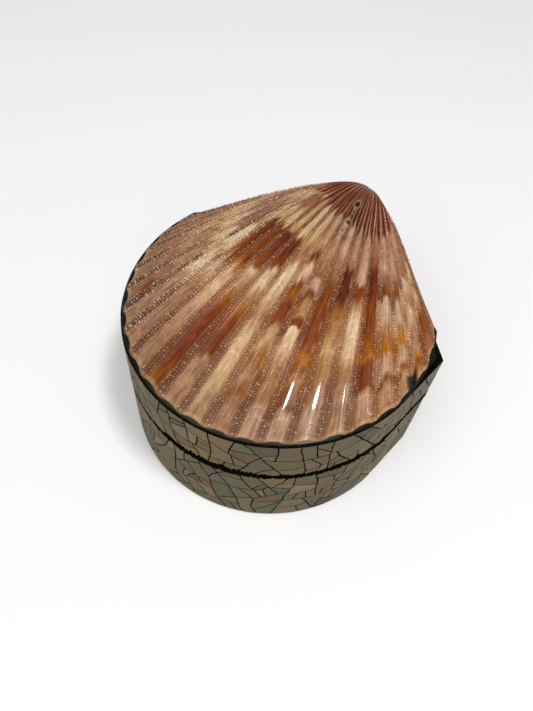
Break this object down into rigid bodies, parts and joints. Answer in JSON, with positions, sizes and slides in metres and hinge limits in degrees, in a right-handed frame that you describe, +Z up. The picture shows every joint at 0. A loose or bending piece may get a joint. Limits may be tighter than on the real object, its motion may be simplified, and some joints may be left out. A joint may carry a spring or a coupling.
{
  "type": "shell box",
  "caption": "Lidded trinket box with crackled mother-of-pearl sides and a ribbed scallop valve on its lift-off lid.",
  "frame": {"origin": "on the table under the box, on the middle line of the valve, halfway between the front and the back of the box", "axes": "+X to the right, +Y towards the valve's umbo at the back, +Z up"},
  "size_m": [0.0765, 0.0848, 0.0515],
  "materials": {
    "black_lacquer": "black-green lacquer, glossy",
    "mother_of_pearl": "grey-green crackled mother-of-pearl under clear lacquer",
    "scallop": "natural scallop, brown, rust and cream, under clear lacquer"
  },
  "bodies": {
    "root": {"base_tray": "black_lacquer", "base_mother_of_pearl": "mother_of_pearl", "lid_body": "black_lacquer", "lid_mother_of_pearl": "mother_of_pearl", "scallop_shell": "scallop"}
  },
  "joints": []
}
